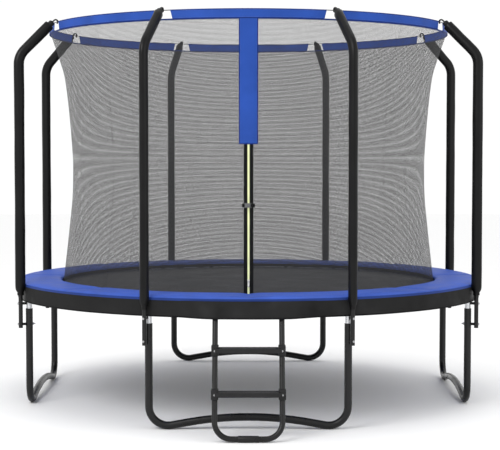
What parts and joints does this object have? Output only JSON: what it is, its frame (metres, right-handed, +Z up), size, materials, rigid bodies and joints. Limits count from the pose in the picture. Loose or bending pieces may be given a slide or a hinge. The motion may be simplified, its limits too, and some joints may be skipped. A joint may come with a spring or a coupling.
{
  "type": "backyard trampoline",
  "caption": "Round garden trampoline with a padded rim, springs, an hourglass safety net on bent padded poles with a zipped door, and a hook-on ladder.",
  "frame": {"origin": "on the ground under the centre of the jumping mat", "axes": "+Z up, -Y towards the ladder and the net's door, +X to the right as seen from the ladder side"},
  "size_m": [3.051, 3.3192, 2.4425],
  "materials": {
    "galvanised_steel": "zinc-plated tube, satin, with faint spangle and drawn lines",
    "black_frame_steel": "semi-gloss black powder coat",
    "foam_sleeve_cover": "black coated fabric over foam, low sheen",
    "black_plastic": "black moulded plastic",
    "mat_fabric": "tight woven black polypropylene",
    "pad_blue": "blue coated fabric, slight sheen",
    "skirt_cloth": "dark grey woven cloth with a black hem",
    "net_mesh": "dark grey knotless polyester netting",
    "band_blue": "blue coated fabric with stitched edges",
    "black_webbing": "black webbing with a pale yellow-green line",
    "zip_metal": "bright die-cast metal",
    "buckle_plastic": "grey moulded plastic"
  },
  "bodies": {
    "root": {"top_rail_1": "galvanised_steel", "top_rail_2": "galvanised_steel", "top_rail_3": "galvanised_steel", "top_rail_4": "galvanised_steel", "top_rail_5": "galvanised_steel", "top_rail_6": "galvanised_steel", "top_rail_7": "galvanised_steel", "top_rail_8": "galvanised_steel", "leg_front": "black_frame_steel", "leg_right": "black_frame_steel", "leg_back": "black_frame_steel", "leg_left": "black_frame_steel", "pole_1": "black_frame_steel", "pole_2": "black_frame_steel", "pole_3": "black_frame_steel", "pole_4": "black_frame_steel", "pole_5": "black_frame_steel", "pole_6": "black_frame_steel", "pole_7": "black_frame_steel", "pole_8": "black_frame_steel", "pole_foam_1": "foam_sleeve_cover", "pole_foam_2": "foam_sleeve_cover", "pole_foam_3": "foam_sleeve_cover", "pole_foam_4": "foam_sleeve_cover", "pole_foam_5": "foam_sleeve_cover", "pole_foam_6": "foam_sleeve_cover", "pole_foam_7": "foam_sleeve_cover", "pole_foam_8": "foam_sleeve_cover", "pole_cap_1": "black_plastic", "pole_cap_2": "black_plastic", "pole_cap_3": "black_plastic", "pole_cap_4": "black_plastic", "pole_cap_5": "black_plastic", "pole_cap_6": "black_plastic", "pole_cap_7": "black_plastic", "pole_cap_8": "black_plastic", "spring_set": "galvanised_steel", "safety_pad": "pad_blue", "pad_skirt": "skirt_cloth", "net_front_right": "net_mesh", "net_right": "net_mesh", "net_back": "net_mesh", "net_left": "net_mesh", "net_front_left": "net_mesh", "top_band": "band_blue", "front_strip": "band_blue", "zip_tape": "black_webbing", "buckle_socket": "buckle_plastic"},
    "mat": {"jumping_mat": "mat_fabric"},
    "ladder": {"ladder_rail_left": "black_frame_steel", "ladder_rail_right": "black_frame_steel", "ladder_sleeve": "black_frame_steel", "step_lower": "black_plastic", "step_upper": "black_plastic", "ladder_hook_left": "black_frame_steel", "ladder_hook_right": "black_frame_steel"},
    "slider": {"zip_slider": "zip_metal"},
    "pull": {"zip_pull": "zip_metal"},
    "plug": {"buckle_plug": "buckle_plastic"}
  },
  "joints": [
    {"name": "mat_bounce", "type": "slide", "parent": "root", "child": "mat", "axis": [0, 0, 1], "range_m": [-0.2, 0], "stiffness_N_per_m": 4000, "springref_m": 0.03, "deforming": ["spring_set"]},
    {"name": "ladder_swing", "type": "hinge", "parent": "root", "child": "ladder", "pos_m": [0, -1.4902, 0.725], "axis": [-1, 0, 0], "range_deg": [0, 25], "deforming": ["pad_skirt"]},
    {"name": "zip_slide", "type": "slide", "parent": "root", "child": "slider", "axis": [0, 0.0431, 0.9991], "range_m": [0, 0.77]},
    {"name": "zip_pull_hinge", "type": "hinge", "parent": "slider", "child": "pull", "pos_m": [0, -1.242, 0.846], "axis": [-1, 0, 0], "range_deg": [0, 150]},
    {"name": "buckle_release", "type": "slide", "parent": "root", "child": "plug", "axis": [1, 0, 0], "range_m": [0, 0.035]}
  ]
}
